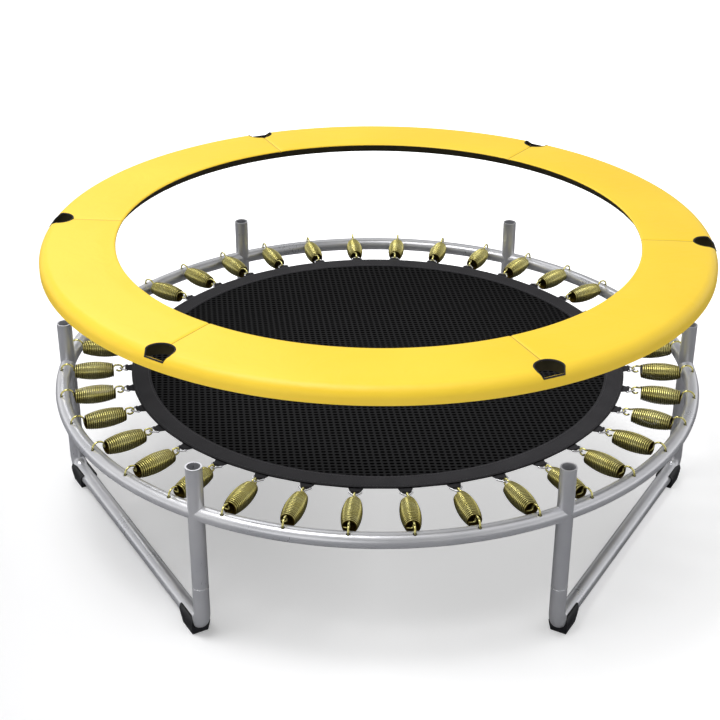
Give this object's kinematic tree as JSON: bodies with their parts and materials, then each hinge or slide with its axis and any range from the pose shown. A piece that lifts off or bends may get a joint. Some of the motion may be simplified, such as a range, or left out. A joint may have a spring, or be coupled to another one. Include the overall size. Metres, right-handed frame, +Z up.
{
  "type": "garden trampoline",
  "caption": "Round garden trampoline with tubular frame on bent legs, sprung jumping mat and a padded spring cover that lifts off.",
  "frame": {"origin": "centre of the trampoline on the ground, where the feet stand", "axes": "+Z up; -Y towards the front of the picture; +X to the right between two posts' axis"},
  "size_m": [1.414, 1.414, 0.609],
  "materials": {
    "steel_tube": "satin zinc-plated tube",
    "foot_plastic": "matt",
    "spring_wire": "yellow zinc plating",
    "bright_wire": "bright",
    "mat_mesh": "woven mesh",
    "webbing": "close weave",
    "pad_sheet": "coated sheet, satin",
    "pad_foam": "closed-cell foam",
    "binding_tape": "close weave"
  },
  "bodies": {
    "frame": {"ring_arc_1": "steel_tube", "ring_arc_2": "steel_tube", "ring_arc_3": "steel_tube", "ring_arc_4": "steel_tube", "ring_arc_5": "steel_tube", "ring_arc_6": "steel_tube", "post_1": "steel_tube", "post_2": "steel_tube", "post_3": "steel_tube", "post_4": "steel_tube", "post_5": "steel_tube", "post_6": "steel_tube", "leg_1": "steel_tube", "leg_2": "steel_tube", "leg_3": "steel_tube", "foot_1": "foot_plastic", "foot_2": "foot_plastic", "foot_3": "foot_plastic", "foot_4": "foot_plastic", "foot_5": "foot_plastic", "foot_6": "foot_plastic", "springs_1": "spring_wire", "springs_2": "spring_wire", "springs_3": "spring_wire", "springs_4": "spring_wire", "springs_5": "spring_wire", "springs_6": "spring_wire"},
    "mat": {"mat": "mat_mesh", "mat_band": "webbing", "mat_tabs": "webbing", "triangle_rings": "bright_wire"},
    "pad_core": {"pad_foam_1": "pad_foam", "pad_foam_2": "pad_foam", "pad_foam_3": "pad_foam", "pad_foam_4": "pad_foam", "pad_foam_5": "pad_foam", "pad_foam_6": "pad_foam"},
    "pad_skin": {"pad_cover_1a": "pad_sheet", "pad_cover_1b": "pad_sheet", "pad_cover_2a": "pad_sheet", "pad_cover_2b": "pad_sheet", "pad_cover_3a": "pad_sheet", "pad_cover_3b": "pad_sheet", "pad_cover_4a": "pad_sheet", "pad_cover_4b": "pad_sheet", "pad_cover_5a": "pad_sheet", "pad_cover_5b": "pad_sheet", "pad_cover_6a": "pad_sheet", "pad_cover_6b": "pad_sheet", "hole_binding_1": "binding_tape", "hole_binding_2": "binding_tape", "hole_binding_3": "binding_tape", "hole_binding_4": "binding_tape", "hole_binding_5": "binding_tape", "hole_binding_6": "binding_tape"}
  },
  "joints": [
    {"name": "mat_bounce", "type": "slide", "parent": "frame", "child": "mat", "axis": [0, 0, 1], "range_m": [-0.1, 0], "stiffness_N_per_m": 6000, "deforming": ["springs_1", "springs_2", "springs_3", "springs_4", "springs_5", "springs_6"]},
    {"name": "pad_lift", "type": "slide", "parent": "frame", "child": "pad_core", "axis": [0, 0, 1], "range_m": [-0.267, 0]},
    {"name": "pad_turn", "type": "hinge", "parent": "pad_core", "child": "pad_skin", "pos_m": [0, 0, 0], "axis": [0, 0, 1], "range_deg": [0, 5.9]}
  ],
  "couplings": [
    {"joint": "pad_turn", "follows": "pad_lift", "rad_per_m": -0.37456}
  ]
}
